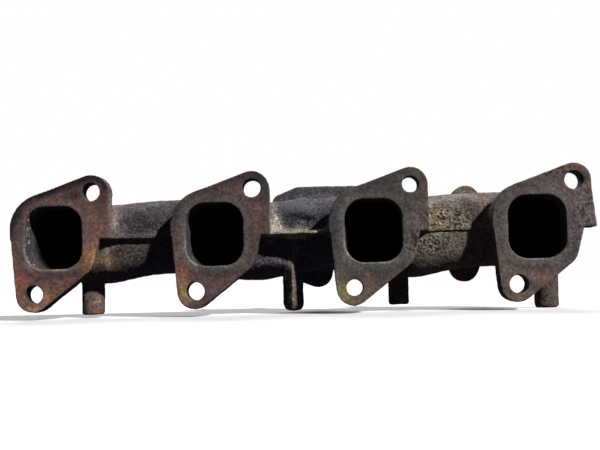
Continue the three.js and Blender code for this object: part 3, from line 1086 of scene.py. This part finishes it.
# ---------------------------------------------------------------- materials


def add(tree, kind, inputs=(), **settings):
    """A shader node; inputs are values, or sockets to link from."""
    node = tree.nodes.new(kind)
    for key, value in settings.items():
        setattr(node, key, value)
    for key, value in dict(inputs).items():
        if isinstance(value, bpy.types.NodeSocket):
            tree.links.new(value, node.inputs[key])
        else:
            node.inputs[key].default_value = value
    return node


def math_node(tree, operation, *values, clamp=False):
    return add(
        tree, "ShaderNodeMath", dict(enumerate(values)), operation=operation, use_clamp=clamp
    ).outputs[0]


def speckle(tree, place, size, detail=3.0, rough=0.6, shift=0.0):
    """Noise about size mm across."""
    moved = add(
        tree, "ShaderNodeVectorMath", {0: place, 1: (shift, shift, shift)}, operation="ADD"
    ).outputs[0]
    return add(
        tree,
        "ShaderNodeTexNoise",
        {"Vector": moved, "Scale": 1 / size, "Detail": detail, "Roughness": rough},
    ).outputs["Fac"]


def ramp(tree, value, *stops):
    """Greys between stops, each a position and a shade."""
    node = add(tree, "ShaderNodeValToRGB", {"Fac": value})
    elements = node.color_ramp.elements
    while len(elements) < len(stops):
        elements.new(0.5)
    for element, (position, shade) in zip(elements, stops):
        element.position = position
        element.color = (shade, shade, shade, 1)
    return node.outputs["Color"]


def mix(tree, factor, a, b, blend="MIX"):
    """Two colours mixed; each of the factor and colours is a value or a socket."""
    node = add(tree, "ShaderNodeMix", data_type="RGBA", blend_type=blend)
    for socket, value in ((0, factor), (6, a), (7, b)):
        if isinstance(value, bpy.types.NodeSocket):
            tree.links.new(value, node.inputs[socket])
        elif socket:
            node.inputs[socket].default_value = (*value, 1)
        else:
            node.inputs[socket].default_value = value
    return node.outputs[2]


def new_material(name):
    """A material with one shader, and its places in millimetres."""
    material = bpy.data.materials.new(name)
    material.use_nodes = True
    tree = material.node_tree
    tree.nodes.clear()
    output = add(tree, "ShaderNodeOutputMaterial")
    shader = add(tree, "ShaderNodeBsdfPrincipled")
    tree.links.new(shader.outputs[0], output.inputs[0])
    place = add(
        tree,
        "ShaderNodeVectorMath",
        {0: add(tree, "ShaderNodeTexCoord").outputs["Object"], 1: (1000, 1000, 1000)},
        operation="MULTIPLY",
    ).outputs[0]
    return material, tree, shader, place


def iron_material(name, rust):
    """Oxidised cast iron: the painted zones, broken up by grain, soot and rust specks."""
    material, tree, shader, place = new_material(name)
    base = add(tree, "ShaderNodeAttribute", attribute_name="paint").outputs["Color"]
    flat = add(tree, "ShaderNodeAttribute", attribute_name="machined").outputs["Fac"]
    pits = add(tree, "ShaderNodeAttribute", attribute_name="pitted").outputs["Fac"]
    blotch = speckle(tree, place, 9.0, 4.0, 0.6, 31.0)
    grain = speckle(tree, place, 1.5, 4.0, 0.75, 5.0)
    fine = speckle(tree, place, 0.5, 2.0, 0.6, 77.0)
    colour = mix(tree, 1.0, base, ramp(tree, blotch, (0.3, 0.75), (0.7, 1.25)), "MULTIPLY")
    coarse = ramp(tree, grain, (0.3, 0.18), (0.5, 0.92), (0.72, 2.1))
    smooth = ramp(tree, grain, (0.3, 0.4), (0.7, 1.65))
    colour = mix(tree, 1.0, colour, mix(tree, flat, coarse, smooth), "MULTIPLY")
    hollows = speckle(tree, place, 1.7, 3.0, 0.6, 91.0)
    holes = ramp(tree, hollows, (0.41, 0.03), (0.5, 1.0), (0.64, 2.0))
    colour = mix(tree, 1.0, colour, mix(tree, pits, (1.0, 1.0, 1.0), holes), "MULTIPLY")
    rusty = ramp(tree, speckle(tree, place, 5.0, 5.0, 0.7, 13.0), (0.52, 0.0), (0.66, 1.0))
    colour = mix(tree, math_node(tree, "MULTIPLY", rusty, rust), colour, tuple(linear(104, 72, 60)))
    dark = ramp(tree, speckle(tree, place, 2.4, 4.0, 0.7, 51.0), (0.6, 0.0), (0.74, 0.75))
    colour = mix(tree, dark, colour, tuple(linear(30, 27, 29)))
    tree.links.new(colour, shader.inputs["Base Color"])
    rough = math_node(tree, "MULTIPLY_ADD", grain, 0.3, 0.62, clamp=True)
    tree.links.new(rough, shader.inputs["Roughness"])
    shader.inputs["Metallic"].default_value = 0.0
    shader.inputs["Specular IOR Level"].default_value = 0.08
    height = math_node(tree, "ADD", grain, math_node(tree, "MULTIPLY", fine, 0.35))
    strength = math_node(tree, "MULTIPLY_ADD", flat, -0.7, 1.0)
    bump = add(
        tree,
        "ShaderNodeBump",
        {"Height": height, "Strength": strength, "Distance": 0.0012},
    )
    tree.links.new(bump.outputs[0], shader.inputs["Normal"])
    return material


def steel_material(name):
    """Zinc-dulled stud steel with rust in the thread."""
    material, tree, shader, place = new_material(name)
    stain = ramp(tree, speckle(tree, place, 2.5, 4.0, 0.7, 3.0), (0.42, 0.0), (0.6, 1.0))
    steel = mix(
        tree, speckle(tree, place, 0.8), tuple(linear(120, 116, 110)), tuple(linear(84, 80, 78))
    )
    colour = mix(tree, stain, steel, tuple(linear(104, 66, 46)))
    tree.links.new(colour, shader.inputs["Base Color"])
    metal = math_node(tree, "MULTIPLY_ADD", stain, -0.8, 0.9, clamp=True)
    tree.links.new(metal, shader.inputs["Metallic"])
    rough = math_node(tree, "MULTIPLY_ADD", stain, 0.35, 0.42, clamp=True)
    tree.links.new(rough, shader.inputs["Roughness"])
    bump = add(
        tree,
        "ShaderNodeBump",
        {"Height": speckle(tree, place, 0.5), "Strength": 0.35, "Distance": 0.0002},
    )
    tree.links.new(bump.outputs[0], shader.inputs["Normal"])
    return material


# ---------------------------------------------------------------- stage, lights and camera


def build_stage():
    """A pale floor at the part's lowest point, which lights nothing."""
    lowest = CAD_BOX[0].z
    mesh = bpy.data.meshes.new("floor")
    reach = 6.0
    corners = [(-reach, -reach), (reach, -reach), (reach, reach), (-reach, reach)]
    mesh.from_pydata([(x, y, lowest) for x, y in corners], [], [(0, 1, 2, 3)])
    floor = bpy.data.objects.new("floor", mesh)
    bpy.context.scene.collection.objects.link(floor)
    material, tree, shader, place = new_material("floor_paper")
    tone = speckle(tree, place, 60.0)
    colour = mix(tree, tone, (0.86, 0.86, 0.86), (0.9, 0.9, 0.9))
    tree.links.new(colour, shader.inputs["Base Color"])
    shader.inputs["Roughness"].default_value = 0.9
    mesh.materials.append(material)
    floor.visible_diffuse = False
    floor.visible_glossy = False


def build_world(strength):
    """White behind the object, and only a faint, slightly violet fill from all round it."""
    world = bpy.data.worlds.new("studio")
    bpy.context.scene.world = world
    world.use_nodes = True
    tree = world.node_tree
    tree.nodes.clear()
    output = add(tree, "ShaderNodeOutputWorld")
    seen = add(tree, "ShaderNodeBackground", {"Color": (1, 1, 1, 1), "Strength": 1.0})
    fill = add(tree, "ShaderNodeBackground", {"Color": (1, 0.9, 1.3, 1), "Strength": strength})
    path = add(tree, "ShaderNodeLightPath")
    choice = add(tree, "ShaderNodeMixShader", {0: path.outputs["Is Camera Ray"]})
    tree.links.new(fill.outputs[0], choice.inputs[1])
    tree.links.new(seen.outputs[0], choice.inputs[2])
    tree.links.new(choice.outputs[0], output.inputs[0])


def add_light(name, azimuth, elevation, softness, strength, colour):
    """A distant soft light; azimuth is to the right of -Y, and all angles are in degrees."""
    light = bpy.data.lights.new(name, "SUN")
    light.angle = math.radians(softness)
    light.energy = strength
    light.color = colour
    holder = bpy.data.objects.new(name, light)
    a, e = math.radians(azimuth), math.radians(elevation)
    back = Vector((math.sin(a) * math.cos(e), -math.cos(a) * math.cos(e), math.sin(e)))
    holder.location = back
    holder.rotation_euler = (-back).to_track_quat("-Z", "Y").to_euler()
    bpy.context.scene.collection.objects.link(holder)


def build_camera():
    """A view of the side that bolts to the cylinder head, from a little below its middle."""
    camera = bpy.data.cameras.new("camera")
    camera.lens = 54
    camera.sensor_width = 36
    holder = bpy.data.objects.new("camera", camera)
    holder.location = (0.016776, -0.552118, -0.031242)
    holder.rotation_euler = [math.radians(a) for a in (93.683, 1.317, 1.414)]
    bpy.context.scene.collection.objects.link(holder)
    bpy.context.scene.camera = holder


build_camera()
build_stage()
build_world(strength=0.06)
add_light(
    "key", azimuth=46, elevation=36, softness=3, strength=4.95, colour=(1.0, 0.99, 0.99)
)
add_light(
    "back", azimuth=182, elevation=38, softness=40, strength=2.2, colour=(1.0, 1.0, 1.0)
)
bpy.context.scene.view_settings.view_transform = "Standard"

materials = {
    "cast_iron": iron_material("cast_iron_skin", rust=0.1),
    "flange_iron": iron_material("flange_iron_skin", rust=0.2),
    "stud_steel": steel_material("stud_steel_thread"),
}
points, quads = surface_nets(sample_field(CELL), CELL)
points = snap_to_surface(points, skin_field, rounds=2)
for bm, name, slot, nodes in cut_casting(as_bmesh(points, quads)):
    finish_casting_piece(bm, name, slot, nodes, materials)
build_studs(materials["stud_steel"])
